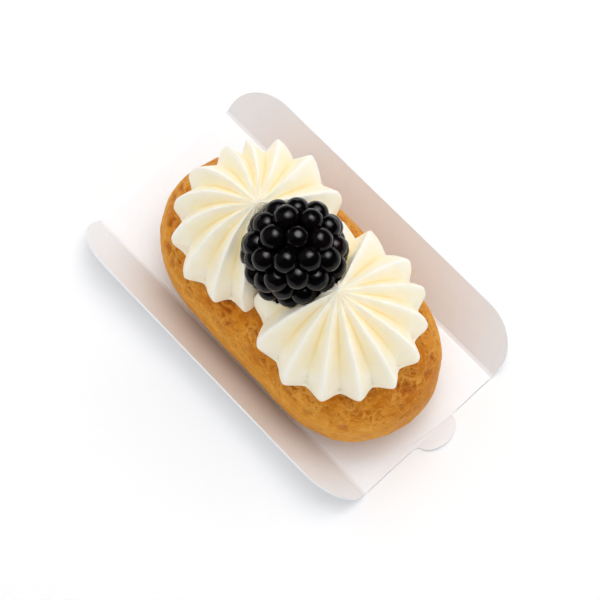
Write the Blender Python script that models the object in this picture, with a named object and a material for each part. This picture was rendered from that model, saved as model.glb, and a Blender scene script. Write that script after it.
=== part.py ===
"""Mini eclair: a short choux bun with two piped cream rosettes and a bramble berry, in a folded card tray.

Metres, +Z up. The tray's pull tab points to +X. The pieces are built about the middle of the tray's base, and
at the end they are moved so that the origin is the middle of the footprint, on the surface that it stands on.
"""

import math
import random

import bmesh
import bpy
from mathutils import Matrix, Vector, noise

GAP = 0.0003
MERGE_DISTANCE = 0.000002

# Card tray: a flat sheet with two side flaps folded up, and a half-round pull tab on its front edge.
CARD = 0.0004
TRAY_LENGTH = 0.0880
TRAY_WIDTH = 0.0396
FLAP_SLANT = 0.0124
FLAP_CORNER_LENGTH = 0.0117
FLAP_CORNER_RISE = 0.0102
FOLD_RADIUS = 0.0009
RIGHT_FLAP_LEAN_BACK = math.radians(43.6)
RIGHT_FLAP_LEAN_FRONT = math.radians(51.0)
LEFT_FLAP_LEAN = math.radians(40.0)
TAB_REACH = 0.0039
TAB_START = -0.0035
TAB_END = 0.0069
TAB_FLARE = 0.0020
TAB_FLARE_REACH = 0.0008
TAB_BEND = math.radians(9.0)
TAB_NOTCH = 0.00001
TAB_STEPS = 8
FLAP_CORNER_STEP_DEGREES = 15
FOLD_ROWS = (-1.2, -0.55, 0.1, 0.75)
TRAY_COLUMNS = (-1.0, -0.6, -0.2, 0.2, 0.6, 1.0)
TAB_EDGE = 2.0

# Choux bun: a loaf with round ends, flat underneath, widest below its middle.
BUN_CENTRE = Vector((0.0032, -0.0013, 0.0125))
BUN_YAW = math.radians(-1.2)
BUN_RIDGE_HALF = 0.0140
BUN_END_REACH = 0.0236
BUN_HALF_WIDTH = 0.0201
BUN_PLAN_SQUARENESS = 2.1
BUN_TOP_RISE = 0.0133
BUN_BASE_DROP = 0.0130
BUN_TOP_SQUARENESS = 2.3
BUN_BASE_SQUARENESS = 3.0
BUN_BLEND = 0.0050
BUN_FLOOR = CARD + GAP
BUN_MESH_CUTS = 17
BUN_FLAT_ANGLE = math.radians(0.5)
SURFACE_SEARCH = (0.2, 2.0)
SURFACE_SEARCH_STEPS = 40
WRINKLE_SIZE = 0.0085
WRINKLE_DEPTH = 0.0003
WRINKLE_SHARPNESS = 2.6
DENT_SIZE = 0.0210
DENT_DEPTH = 0.0005
DENT_MEAN = 0.4
DENT_SHIFT = Vector((4.0, 9.0, 2.0))
RELIEF_FADE_HEIGHT = 0.006

# Cream rosettes: star-piped kisses. A ridge is its tip's angle on the rim, and the share that it reaches.
ROSETTE_RISE = 0.0143
ROSETTE_SQUARENESS = 2.1
RIM_HEIGHT = 0.0282
RIM_DROOP = 0.0040
RIM_ROLL = 0.0030
RIM_ROLL_DROP = 0.0028
RIM_ROLL_LEAST_DEPTH = 0.2
RIDGE_DEPTH = 0.0031
RIDGE_FADE = 0.8
RIDGE_POINT = 1.15
VALLEY_POINT = 2.0
ROUND_VALLEY_LEVEL = 0.5
RIDGE_COLUMNS = (0.0, 0.11, 0.28, 0.5, 0.72, 0.89)
ROSETTE_LEVELS = (-1.0, -0.5, 0.0, 0.13, 0.28, 0.45, 0.62, 0.78, 0.90)
FOOT_SHARES = (0.35, 0.68)
PEAK_HEIGHT = 0.0012
PEAK_WIDTH = 0.0020
BACK_ROSETTE = {
    "centre": (-0.0098, 0.0001),
    "peak_shift": (-0.0002, -0.0011),
    "rim": 0.0197,
    "swirl": math.radians(-13.0),
    "ridges": (
        (-169.5, 1.0), (-147.3, 1.01), (-125.7, 1.01), (-101.8, 1.01), (-76.4, 0.97), (-53.8, 0.96),
        (-28.0, 0.95), (-3.0, 0.93), (22.0, 0.9), (46.0, 0.9), (71.5, 0.945), (103.8, 1.015),
        (127.4, 1.04), (147.6, 1.0), (163.0, 0.985),
    ),
}
FRONT_ROSETTE = {
    "centre": (0.0166, -0.0011),
    "peak_shift": (-0.0010, -0.0008),
    "rim": 0.0192,
    "swirl": math.radians(-2.0),
    "ridges": (
        (-143.5, 1.01), (-114.8, 1.01), (-85.5, 0.995), (-57.5, 0.98), (-32.5, 0.995), (-9.5, 1.01),
        (14.5, 0.985), (40.5, 0.95), (65.0, 0.98), (87.5, 1.01), (119.0, 1.06), (137.0, 1.09),
        (163.0, 1.0), (189.0, 1.0),
    ),
}
SEAM_POINT = Vector((0.0001, -0.0004, 0.0300))
SEAM_LEAN = math.radians(16.0)
SEAM_BLOCK = 0.06

# Bramble berry: rings of drupelets from the tip down, as degrees down, how many, and degrees of zigzag.
BERRY_CENTRE = Vector((0.0025, -0.0019, 0.0401))
BERRY_LEAN = math.radians(3.9)
BERRY_LEAN_TURN = math.radians(-1.0)
BERRY_RING_RADIUS = 0.0090
BERRY_RING_HEIGHT = 0.0111
BERRY_SQUARENESS = 2.4
BERRY_CORE_SHRINK = 0.0006
BERRY_FORM_SEGMENTS = 28
BERRY_FORM_RINGS = 16
DRUPELET_RADIUS = 0.0026
DRUPELET_LENGTH = 0.0025
DRUPELET_SIZE_SPREAD = 0.07
DRUPELET_RINGS = ((0, 1, 0), (30.5, 6, 0), (59, 12, 6), (81, 13, 5), (103, 12, 4), (124, 9, 3), (150, 5, 0))
DRUPELET_TURNS = (0.0, -14.0, 16.0, 24.0, 12.0, 20.0, 0.0)
DRUPELET_STRAY_TURN = 0.08
DRUPELET_STRAY_DOWN = 2.5
BERRY_FACE_SHARE = 0.66
BERRY_SEED = 7


def smooth_step(value):
    value = max(0.0, min(1.0, value))
    return value * value * (3.0 - 2.0 * value)


def material(name, colour, roughness, metallic=0.0):
    made = bpy.data.materials.new(name)
    made.use_nodes = True
    shader = made.node_tree.nodes["Principled BSDF"]
    shader.inputs["Base Color"].default_value = (*colour, 1.0)
    shader.inputs["Roughness"].default_value = roughness
    shader.inputs["Metallic"].default_value = metallic
    return made


def add_object(name, mesh_data, look):
    piece = bpy.data.objects.new(name, mesh_data)
    piece.data.materials.append(look)
    bpy.context.scene.collection.objects.link(piece)
    return piece


def mesh_from_faces(name, points, faces):
    """One mesh of the given faces, its doubled corners merged and its faces turned outwards."""
    made = bpy.data.meshes.new(name)
    made.from_pydata(points, [], faces)
    shape = bmesh.new()
    shape.from_mesh(made)
    bmesh.ops.remove_doubles(shape, verts=shape.verts, dist=MERGE_DISTANCE)
    bmesh.ops.dissolve_degenerate(shape, edges=shape.edges, dist=MERGE_DISTANCE)
    bmesh.ops.recalc_face_normals(shape, faces=shape.faces)
    shape.to_mesh(made)
    shape.free()
    return made


# The card tray.
def flap_end(beyond_fold):
    """How far along X the sheet reaches at a distance up a flap."""
    share = (beyond_fold - (FLAP_SLANT - FLAP_CORNER_RISE)) / FLAP_CORNER_RISE
    share = min(1.0, max(0.0, share))
    return TRAY_LENGTH / 2 - FLAP_CORNER_LENGTH * (1.0 - math.sqrt(1.0 - share**2))


def tab_reach(across):
    """How far the front edge stands out at a place across the sheet: a half-round tab with a small flare."""
    middle = (TAB_START + TAB_END) / 2
    half = (TAB_END - TAB_START) / 2
    if TAB_START - TAB_FLARE < across <= TAB_START:
        return TAB_FLARE_REACH * ((across - TAB_START + TAB_FLARE) / TAB_FLARE) ** 2
    if abs(across - middle) >= half:
        return 0.0
    round_part = math.sqrt(1.0 - ((across - middle) / half) ** 2)
    return TAB_FLARE_REACH / 2 + (TAB_REACH - TAB_FLARE_REACH / 2) * round_part


def fold_section(across, along):
    """The place and the upward normal, in Y and Z, of the card's middle surface."""
    side = 1.0 if across >= 0.0 else -1.0
    share = along / TRAY_LENGTH + 0.5
    lean = RIGHT_FLAP_LEAN_BACK + (RIGHT_FLAP_LEAN_FRONT - RIGHT_FLAP_LEAN_BACK) * share
    if side < 0.0:
        lean = LEFT_FLAP_LEAN
    turn = math.pi / 2 - lean
    start = TRAY_WIDTH / 2 - FOLD_RADIUS * math.tan(turn / 2)
    past = abs(across) - start
    if past <= 0.0:
        return across, CARD / 2, 0.0, 1.0
    bent = min(turn, past / FOLD_RADIUS)
    rest = max(0.0, past - FOLD_RADIUS * turn)
    place = start + FOLD_RADIUS * math.sin(bent) + rest * math.cos(turn)
    height = CARD / 2 + FOLD_RADIUS * (1.0 - math.cos(bent)) + rest * math.sin(turn)
    return side * place, height, -side * math.sin(bent), math.cos(bent)


def tray_rows():
    """Distances across the flat sheet, from the left flap's edge to the right flap's."""
    straight = FLAP_SLANT - FLAP_CORNER_RISE
    turns = range(0, 91, FLAP_CORNER_STEP_DEGREES)
    corner = [FLAP_CORNER_RISE * math.sin(math.radians(turn)) for turn in turns]
    fold = [FOLD_RADIUS * share for share in FOLD_ROWS]
    side = [TRAY_WIDTH / 2 + step for step in fold] + [TRAY_WIDTH / 2 + straight + rise for rise in corner]
    middle = (TAB_START + TAB_END) / 2
    half = (TAB_END - TAB_START) / 2
    tab = [middle - half * math.cos(math.pi * step / TAB_STEPS) for step in range(1, TAB_STEPS)]
    front = [TAB_START - TAB_FLARE, TAB_START - TAB_FLARE / 2, TAB_START, TAB_START + TAB_NOTCH]
    front += tab + [TAB_END - TAB_NOTCH, TAB_END]
    return [-value for value in reversed(side)] + front + side


def make_tray(look):
    rows = tray_rows()
    columns = TRAY_COLUMNS + (TAB_EDGE,)
    points = []
    for face in (1.0, -1.0):
        offset = face * CARD / 2
        for across in rows:
            end = flap_end(abs(across) - TRAY_WIDTH / 2)
            for share in columns:
                along = end * min(1.0, share)
                place, height, normal_y, normal_z = fold_section(across, along)
                if share == TAB_EDGE:
                    stand_out = tab_reach(across)
                    along += stand_out * math.cos(TAB_BEND)
                    height += stand_out * math.sin(TAB_BEND)
                points.append((along, place + normal_y * offset, height + normal_z * offset))
    wide = len(columns)
    sheet = len(rows) * wide
    faces = []
    for row in range(len(rows) - 1):
        for column in range(wide - 1):
            first = row * wide + column
            quad = (first, first + 1, first + wide + 1, first + wide)
            faces.append(quad)
            faces.append(tuple(sheet + corner for corner in reversed(quad)))
    border = list(range(wide))
    border += [row * wide + wide - 1 for row in range(1, len(rows))]
    border += [(len(rows) - 1) * wide + column for column in range(wide - 2, -1, -1)]
    border += [row * wide for row in range(len(rows) - 2, 0, -1)]
    for here, there in zip(border, border[1:] + border[:1]):
        faces.append((there, here, sheet + here, sheet + there))
    return add_object("card_tray", mesh_from_faces("card_tray", points, faces), look)


# The choux bun.
def bun_plan(x, y):
    """Where a place lies in the bun's own frame, along and across its ridge."""
    dx = x - BUN_CENTRE.x
    dy = y - BUN_CENTRE.y
    along = dx * math.cos(BUN_YAW) + dy * math.sin(BUN_YAW)
    across = dy * math.cos(BUN_YAW) - dx * math.sin(BUN_YAW)
    return along, across


def bun_reach(along, across):
    """Plan distance from the ridge line, where 1 is the outline at the widest level."""
    beyond = abs(along) - BUN_RIDGE_HALF
    ease = BUN_BLEND**2 / (4.0 * BUN_END_REACH)
    beyond = max(ease, (beyond + math.sqrt(beyond * beyond + BUN_BLEND**2)) / 2)
    lengthwise = ((beyond - ease) / BUN_END_REACH) ** BUN_PLAN_SQUARENESS
    crosswise = abs(across / BUN_HALF_WIDTH) ** BUN_PLAN_SQUARENESS
    return (lengthwise + crosswise) ** (1.0 / BUN_PLAN_SQUARENESS)


def bun_top(x, y):
    """Height of the bun's smooth upper surface over a place, or of its widest level outside it."""
    reach = min(1.0, bun_reach(*bun_plan(x, y)))
    share = (1.0 - reach**BUN_TOP_SQUARENESS) ** (1.0 / BUN_TOP_SQUARENESS)
    return BUN_CENTRE.z + BUN_TOP_RISE * share


def bun_measure(along, across, up):
    """Less than 1 inside the bun, more than 1 outside it."""
    reach = bun_reach(along, across)
    if up >= 0.0:
        return reach**BUN_TOP_SQUARENESS + (up / BUN_TOP_RISE) ** BUN_TOP_SQUARENESS
    return reach**BUN_BASE_SQUARENESS + (-up / BUN_BASE_DROP) ** BUN_BASE_SQUARENESS


def bun_relief(place):
    """Wrinkles and dents in the crust, which fade out under the bun."""
    wrinkle = -abs(noise.noise(place / WRINKLE_SIZE)) * WRINKLE_SHARPNESS
    dent = noise.noise(place / DENT_SIZE + DENT_SHIFT) - DENT_MEAN
    fade = smooth_step((place.z - BUN_FLOOR) / RELIEF_FADE_HEIGHT)
    return fade * (WRINKLE_DEPTH * wrinkle + DENT_DEPTH * dent)


def make_bun(look):
    shape = bmesh.new()
    bmesh.ops.create_cube(shape, size=2.0)
    bmesh.ops.subdivide_edges(shape, edges=shape.edges, cuts=BUN_MESH_CUTS, use_grid_fill=True)
    reach = Vector((BUN_RIDGE_HALF + BUN_END_REACH, BUN_HALF_WIDTH, BUN_TOP_RISE))
    turn = Matrix.Rotation(BUN_YAW, 3, "Z")
    for corner in shape.verts:
        corner.co = Vector([math.tan(axis * math.pi / 4) for axis in corner.co]).normalized()
        ray = reach * corner.co
        low, high = SURFACE_SEARCH
        for _ in range(SURFACE_SEARCH_STEPS):
            middle = (low + high) / 2
            if bun_measure(ray.x * middle, ray.y * middle, ray.z * middle) < 1.0:
                low = middle
            else:
                high = middle
        ray *= low
        place = turn @ ray + BUN_CENTRE
        outward = Vector([part / size for part, size in zip(ray, reach)]).normalized()
        place += turn @ outward * bun_relief(place)
        place.z = max(BUN_FLOOR, place.z)
        corner.co = place
    shape.normal_update()
    bmesh.ops.dissolve_limit(shape, angle_limit=BUN_FLAT_ANGLE, verts=shape.verts, edges=shape.edges)
    bmesh.ops.triangulate(shape, faces=shape.faces)
    made = bpy.data.meshes.new("choux_bun")
    shape.to_mesh(made)
    shape.free()
    made.shade_smooth()
    return add_object("choux_bun", made, look)


# The cream rosettes.
def rim_height(angle):
    return RIM_HEIGHT - RIM_DROOP * math.sin(angle) ** 2


def rosette_columns(ridges):
    """Angles round a rosette, with how far each lies from its crest and how far the rim reaches there."""
    columns = []
    for (crest, reach), (after, next_reach) in zip(ridges, ridges[1:] + ridges[:1]):
        if after < crest:
            after += 360.0
        for share in RIDGE_COLUMNS:
            angle = math.radians(crest + (after - crest) * share)
            columns.append((angle, 1.0 - abs(1.0 - 2.0 * share), reach + (next_reach - reach) * share))
    return columns


def ridge_cut(from_crest, level):
    """Share of the ridge depth taken off: pointed tips on the rim, and round valleys above it."""
    rim_form = from_crest**RIDGE_POINT
    dome_form = 1.0 - (1.0 - from_crest) ** VALLEY_POINT
    return rim_form + (dome_form - rim_form) * smooth_step(level / ROUND_VALLEY_LEVEL)


def rosette_point(form, angle, from_crest, reach, level):
    """A point on the cream. level is 0 on the rim, 1 at the peak, and below 0 round the rim's underside."""
    swing = math.radians(90.0) * level
    if level >= 0.0:
        out = math.cos(swing) ** (2.0 / ROSETTE_SQUARENESS)
        up = math.sin(swing) ** (2.0 / ROSETTE_SQUARENESS)
        radius = form["rim"] * out
        lift = ROSETTE_RISE * up
        normal_out = out ** (ROSETTE_SQUARENESS - 1.0) / form["rim"]
        normal_up = up ** (ROSETTE_SQUARENESS - 1.0) / ROSETTE_RISE
    else:
        out = (form["rim"] - RIM_ROLL * (1.0 - math.cos(swing))) / form["rim"]
        radius = form["rim"] * out
        lift = RIM_ROLL_DROP * math.sin(swing)
        normal_out = math.cos(swing)
        normal_up = math.sin(swing)
    size = math.hypot(normal_out, normal_up)
    depth = RIDGE_DEPTH * out**RIDGE_FADE * ridge_cut(from_crest, level)
    if level < 0.0:
        depth *= math.cos(swing) * (1.0 - RIM_ROLL_LEAST_DEPTH) + RIM_ROLL_LEAST_DEPTH
    radius *= 1.0 + (reach - 1.0) * out
    radius -= depth * normal_out / size
    lift -= depth * normal_up / size
    lift += PEAK_HEIGHT * math.exp(-((radius / PEAK_WIDTH) ** 2))
    inward = 1.0 - radius / form["rim"]
    turned = angle + form["swirl"] * inward
    shift = smooth_step(inward)
    x = form["centre"][0] + form["peak_shift"][0] * shift + radius * math.cos(turned)
    y = form["centre"][1] + form["peak_shift"][1] * shift + radius * math.sin(turned)
    base = rim_height(turned) * (1.0 - shift) + RIM_HEIGHT * shift
    return Vector((x, y, max(base + lift, bun_top(x, y) + GAP)))


def make_rosette(name, form, look):
    columns = rosette_columns(form["ridges"])
    rings = []
    for share in FOOT_SHARES:
        ring = []
        for angle, _, _ in columns:
            x = form["centre"][0] + form["rim"] * share * math.cos(angle)
            y = form["centre"][1] + form["rim"] * share * math.sin(angle)
            ring.append(Vector((x, y, bun_top(x, y) + GAP)))
        rings.append(ring)
    for level in ROSETTE_LEVELS:
        rings.append([rosette_point(form, *column, level) for column in columns])
    points = [point for ring in rings for point in ring]
    count = len(columns)
    faces = []
    for ring in range(len(rings) - 1):
        for column in range(count):
            after = (column + 1) % count
            low, high = ring * count, (ring + 1) * count
            faces.append((low + column, low + after, high + after, high + column))
    x, y = form["centre"]
    points.append(Vector((x, y, bun_top(x, y) + GAP)))
    points.append(rosette_point(form, 0.0, 0.0, 1.0, 1.0))
    bottom, top, last = len(points) - 2, len(points) - 1, (len(rings) - 1) * count
    for column in range(count):
        after = (column + 1) % count
        faces.append((column, bottom, after))
        faces.append((last + column, last + after, top))
    piece = add_object(name, mesh_from_faces(name, points, faces), look)
    shape = bmesh.new()
    shape.from_mesh(piece.data)
    bmesh.ops.triangulate(shape, faces=shape.faces)
    shape.to_mesh(piece.data)
    shape.free()
    return piece


def cut_away(piece, cutter):
    """A Boolean difference that stays on the piece; the cutter is only a guide."""
    cutter.hide_render = True
    cutter.display_type = "WIRE"
    cut = piece.modifiers.new(cutter.name, "BOOLEAN")
    cut.operation = "DIFFERENCE"
    cut.solver = "EXACT"
    cut.object = cutter


def seam_cutter(name, side, look):
    """A block whose face lies on the leaning seam between the rosettes, half a gap past it."""
    shape = bmesh.new()
    bmesh.ops.create_cube(shape, size=SEAM_BLOCK)
    made = bpy.data.meshes.new(name)
    shape.to_mesh(made)
    shape.free()
    block = add_object(name, made, look)
    block.rotation_euler = (0.0, -SEAM_LEAN, 0.0)
    push = SEAM_BLOCK / 2 - GAP / 2
    block.location = SEAM_POINT + Vector((math.cos(SEAM_LEAN), 0.0, math.sin(SEAM_LEAN))) * side * push
    return block


# The bramble berry.
def berry_lean():
    """The turn that leans the berry's tip over."""
    hinge = Vector((-math.sin(BERRY_LEAN_TURN), math.cos(BERRY_LEAN_TURN), 0.0))
    return Matrix.Rotation(BERRY_LEAN, 3, hinge)


def berry_place(slip, angle, across, tall):
    """A place on the berry's squarish egg form, given its angle down from the tip and its angle round."""
    out = across * math.sin(slip) ** (2.0 / BERRY_SQUARENESS)
    up = tall * abs(math.cos(slip)) ** (2.0 / BERRY_SQUARENESS)
    return Vector((out * math.cos(angle), out * math.sin(angle), math.copysign(up, math.cos(slip))))


def berry_form(name, grow, look):
    """A smooth form of the berry's shape, its surface past the drupelets' middles by a distance."""
    shape = bmesh.new()
    bmesh.ops.create_uvsphere(
        shape, u_segments=BERRY_FORM_SEGMENTS, v_segments=BERRY_FORM_RINGS, radius=1.0
    )
    for corner in shape.verts:
        slip = math.acos(max(-1.0, min(1.0, corner.co.z)))
        angle = math.atan2(corner.co.y, corner.co.x)
        place = berry_place(slip, angle, BERRY_RING_RADIUS + grow, BERRY_RING_HEIGHT + grow)
        corner.co = berry_lean() @ place + BERRY_CENTRE
    made = bpy.data.meshes.new(name)
    shape.to_mesh(made)
    shape.free()
    return add_object(name, made, look)


def drupelet_places():
    """Centres and sizes, ring by ring from the tip down."""
    draw = random.Random(BERRY_SEED)
    places = []
    for (down, count, zigzag), turn in zip(DRUPELET_RINGS, DRUPELET_TURNS):
        for index in range(count):
            stray = draw.uniform(-DRUPELET_STRAY_TURN, DRUPELET_STRAY_TURN)
            angle = math.radians(turn) + 2.0 * math.pi * (index + stray) / count
            slip = down + (zigzag if index % 2 else -zigzag)
            if down > 0:
                slip += draw.uniform(-DRUPELET_STRAY_DOWN, DRUPELET_STRAY_DOWN)
            place = berry_place(math.radians(slip), angle, BERRY_RING_RADIUS, BERRY_RING_HEIGHT)
            places.append((place, draw.uniform(1.0 - DRUPELET_SIZE_SPREAD, 1.0 + DRUPELET_SIZE_SPREAD)))
    return places


def make_berry(look):
    heap = bpy.data.collections.new("drupelets")
    bpy.context.scene.collection.children.link(heap)
    for index, (place, size) in enumerate(drupelet_places()):
        shape = bmesh.new()
        bmesh.ops.create_icosphere(shape, subdivisions=2, radius=1.0)
        for corner in shape.verts:
            corner.co.x *= DRUPELET_RADIUS * size
            corner.co.y *= DRUPELET_RADIUS * size
            corner.co.z *= DRUPELET_LENGTH * size
        made = bpy.data.meshes.new("drupelet_%02d" % index)
        shape.to_mesh(made)
        shape.free()
        drupelet = bpy.data.objects.new(made.name, made)
        leant = berry_lean() @ place
        drupelet.location = BERRY_CENTRE + leant
        drupelet.rotation_euler = leant.to_track_quat("Z", "Y").to_euler()
        heap.objects.link(drupelet)
    berry = berry_form("bramble_berry", -BERRY_CORE_SHRINK, look)
    union = berry.modifiers.new("drupelets", "BOOLEAN")
    union.operation = "UNION"
    union.solver = "EXACT"
    union.operand_type = "COLLECTION"
    union.collection = heap
    fused = bpy.data.meshes.new_from_object(berry.evaluated_get(bpy.context.evaluated_depsgraph_get()))
    berry.modifiers.clear()
    berry.data = fused
    fused.name = "bramble_berry"
    thinner = berry.modifiers.new("fewer_faces", "DECIMATE")
    thinner.ratio = BERRY_FACE_SHARE
    for drupelet in list(heap.objects):
        bpy.data.objects.remove(drupelet)
    bpy.data.collections.remove(heap)
    return berry


def main():
    for old in list(bpy.data.objects):
        bpy.data.objects.remove(old)
    card = material("white_card", (0.87, 0.83, 0.80), 0.55)
    crust = material("choux_crust", (0.52, 0.23, 0.055), 0.5)
    cream = material("vanilla_cream", (0.93, 0.85, 0.66), 0.35)
    skin = material("berry_skin", (0.012, 0.008, 0.014), 0.22)
    make_tray(card)
    make_bun(crust)
    back = make_rosette("cream_rosette_back", BACK_ROSETTE, cream)
    front = make_rosette("cream_rosette_front", FRONT_ROSETTE, cream)
    cut_away(back, seam_cutter("seam_of_back", 1.0, cream))
    cut_away(front, seam_cutter("seam_of_front", -1.0, cream))
    largest = DRUPELET_RADIUS * (1.0 + DRUPELET_SIZE_SPREAD)
    socket = berry_form("berry_socket", largest + GAP, cream)
    cut_away(back, socket)
    cut_away(front, socket)
    make_berry(skin)

    # The footprint's middle becomes the origin.
    tray = bpy.data.objects["card_tray"]
    corners = [corner.co for corner in tray.data.vertices]
    middle = Vector((
        (min(c.x for c in corners) + max(c.x for c in corners)) / 2,
        (min(c.y for c in corners) + max(c.y for c in corners)) / 2,
        min(c.z for c in corners),
    ))
    for piece in list(bpy.context.scene.collection.objects):
        piece.location -= middle


main()
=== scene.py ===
import math
import random

import bmesh
import bpy
import numpy as np
from mathutils import Matrix, Vector, noise


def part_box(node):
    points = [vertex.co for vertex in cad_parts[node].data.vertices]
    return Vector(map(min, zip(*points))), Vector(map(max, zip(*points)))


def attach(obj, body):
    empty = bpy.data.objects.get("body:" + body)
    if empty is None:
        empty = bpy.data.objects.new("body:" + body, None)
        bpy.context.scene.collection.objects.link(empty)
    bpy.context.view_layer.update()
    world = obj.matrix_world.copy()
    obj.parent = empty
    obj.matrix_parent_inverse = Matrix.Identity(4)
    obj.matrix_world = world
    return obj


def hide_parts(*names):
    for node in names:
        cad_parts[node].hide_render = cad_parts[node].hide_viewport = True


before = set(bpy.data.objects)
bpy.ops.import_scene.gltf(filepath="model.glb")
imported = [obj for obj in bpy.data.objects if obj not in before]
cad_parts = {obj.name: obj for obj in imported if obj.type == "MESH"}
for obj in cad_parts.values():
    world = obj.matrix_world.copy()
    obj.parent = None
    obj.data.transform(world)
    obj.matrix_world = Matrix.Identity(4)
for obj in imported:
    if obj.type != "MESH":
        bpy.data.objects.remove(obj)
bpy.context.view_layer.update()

# Card tray. The score is the bead and the two grooves that folding leaves inside a fold.
CARD = 0.0004
TRAY_LENGTH = 0.0880
TRAY_WIDTH = 0.0396
FLAP_SLANT = 0.0124
FLAP_CORNER_LENGTH = 0.0117
FLAP_CORNER_RISE = 0.0102
FOLD_RADIUS = 0.0009
RIGHT_FLAP_LEAN_BACK = math.radians(43.6)
RIGHT_FLAP_LEAN_FRONT = math.radians(51.0)
LEFT_FLAP_LEAN = math.radians(40.0)
TAB_REACH = 0.0039
TAB_START = -0.0035
TAB_END = 0.0069
TAB_FLARE = 0.0020
TAB_FLARE_REACH = 0.0008
TAB_BEND = math.radians(9.0)
TAB_SCORE_INSET = 0.0011
TAB_SCORE_DEPTH = 0.00007
TAB_SCORE_HALF_WIDTH = 0.00020
CUT_EDGE_ROUNDING = 0.00006
SCORE_RISE = 0.00007
SCORE_HALF_WIDTH = 0.00026
SCORE_GROOVE = 0.00004
SCORE_GROOVE_PLACE = 0.00062
SCORE_GROOVE_HALF_WIDTH = 0.00016
FOLD_BAND = 0.0022
FOLD_ROW_STEP = 0.00008
FOLD_ROWS = 52
FLAP_CORNER_TURNS = (*range(0, 84, 3), 90)
BASE_ROWS_LEFT = (-0.0165, -0.0120, -0.0085)
BASE_ROWS_RIGHT = (0.0085, 0.0115, 0.0150)
FLARE_STEPS = 6
TAB_STEPS = 28
TAB_NOTCH = 0.00004
TAB_COLUMNS = (1.12, 1.25, 1.40, 1.60, 1.80, 2.0)
FRONT_BAND = 0.05
FRONT_BAND_COLUMNS = 14
BASE_COLUMNS = 44
CARD_MERGE_DISTANCE = 0.000003
CARD_SLIVER_WIDTH = 0.000002
CARD_SHARP_ANGLE = math.radians(60)

# Choux bun. Each bend of the crust's pattern is its size, its reach and its seed.
BUN_CENTRE = Vector((0.0032, -0.0013, 0.0125))
BUN_YAW = math.radians(-1.2)
BUN_RIDGE_HALF = 0.0140
BUN_END_REACH = 0.0236
BUN_HALF_WIDTH = 0.0201
BUN_PLAN_SQUARENESS = 2.1
BUN_TOP_RISE = 0.0133
BUN_BASE_DROP = 0.0130
BUN_TOP_SQUARENESS = 2.3
BUN_BASE_SQUARENESS = 3.0
BUN_BLEND = 0.0050
BUN_FLOOR = CARD + 0.0001
BUN_CUTS = (196, 112, 78)
WRINKLE_SIZE = 0.0085
WRINKLE_DEPTH = 0.0003
WRINKLE_SHARPNESS = 2.6
WRINKLE_SOFTNESS = 0.16
DENT_SIZE = 0.0210
DENT_DEPTH = 0.0005
DENT_MEAN = 0.4
DENT_SHIFT = Vector((4.0, 9.0, 2.0))
SURFACE_SEARCH = (0.2, 2.0)
SURFACE_SEARCH_STEPS = 40
CRUST_BENDS = ((0.0026, 0.0026, 0.0), (0.0009, 0.0007, 3.0))
CRACK_STRETCH = (0.8, 1.0, 1.2)
CRACK_SIZE = 0.0030
FINE_CRACK_SIZE = 0.0014
CRACK_PATCH_SIZE = 0.0050
CRACKED_HEIGHTS = (0.0110, 0.0200)
THREAD_HEIGHT = 0.00010
HOLLOW_DEPTH = 0.00042
STREAK_DEPTH = 0.00006
STREAK_SIZE = (0.0070, 0.0070, 0.0011)
FIBRE_SIZE = (0.0011, 0.0011, 0.00030)
FOOT_FADE_HEIGHT = 0.003
BROWN_HEIGHTS = (0.0125, 0.0215)
BROWN_PATCH_SIZE = 0.011
SPECK_SIZE = 0.0004
RELIEF_FADE_HEIGHT = 0.006
DARK_TIP_PLACE = (0.0370, 0.0010, 0.0160)
DARK_TIP_SIZE = 0.0085

# Cream rosettes: each ridge is the angle of its tip on the rim, in degrees, and how far the tip reaches.
ROSETTE_RISE = 0.0143
ROSETTE_SQUARENESS = 2.1
RIM_HEIGHT = 0.0282
RIM_DROOP = 0.0040
RIM_ROLL = 0.0030
RIM_ROLL_DROP = 0.0028
RIDGE_DEPTH = 0.0031
RIDGE_FADE = 0.8
RIDGE_POINT = 1.15
VALLEY_POINT = 2.0
ROUND_VALLEY_LEVEL = 0.5
ROLL_LEAST_DEPTH = 0.2
TIP_ROUNDING = 0.10
CREST_WIDTH = 0.16
BEADS_UP = 26.0
BEADS_ROUND = 3.1
TEAR_DEPTH = 0.00045
TEAR_HALF_ANGLE = 2.6
TEAR_HALF_LEVEL = 0.020
SWELL_SIZE = 0.0045
SWELL_HEIGHT = 0.0007
RIPPLE_SIZE = 0.0014
RIPPLE_HEIGHT = 0.00014
PEAK_HEIGHT = 0.0016
PEAK_WIDTH = 0.0018
CREAM_GAP = 0.00004
RIDGE_COLUMNS = 24
COLUMN_CROWDING = 0.6
DOME_LEVELS = 96
ROLL_LEVELS = 12
FOOT_SHARES = (0.80, 0.60, 0.40, 0.20)
BACK_ROSETTE = {
    "centre": (-0.0098, 0.0001),
    "peak_shift": (-0.0002, -0.0011),
    "rim": 0.0197,
    "swirl": math.radians(-13.0),
    "ridges": (
        (-169.5, 1.0), (-147.3, 1.01), (-125.7, 1.01), (-101.8, 1.01), (-76.4, 0.97), (-53.8, 0.96),
        (-28.0, 0.95), (-3.0, 0.93), (22.0, 0.9), (46.0, 0.9), (71.5, 0.945), (103.8, 1.015),
        (127.4, 1.04), (147.6, 1.0), (163.0, 0.985),
    ),
    "beads": 0.00002,
    "tears": (),
    "seed": 3.0,
}
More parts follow.
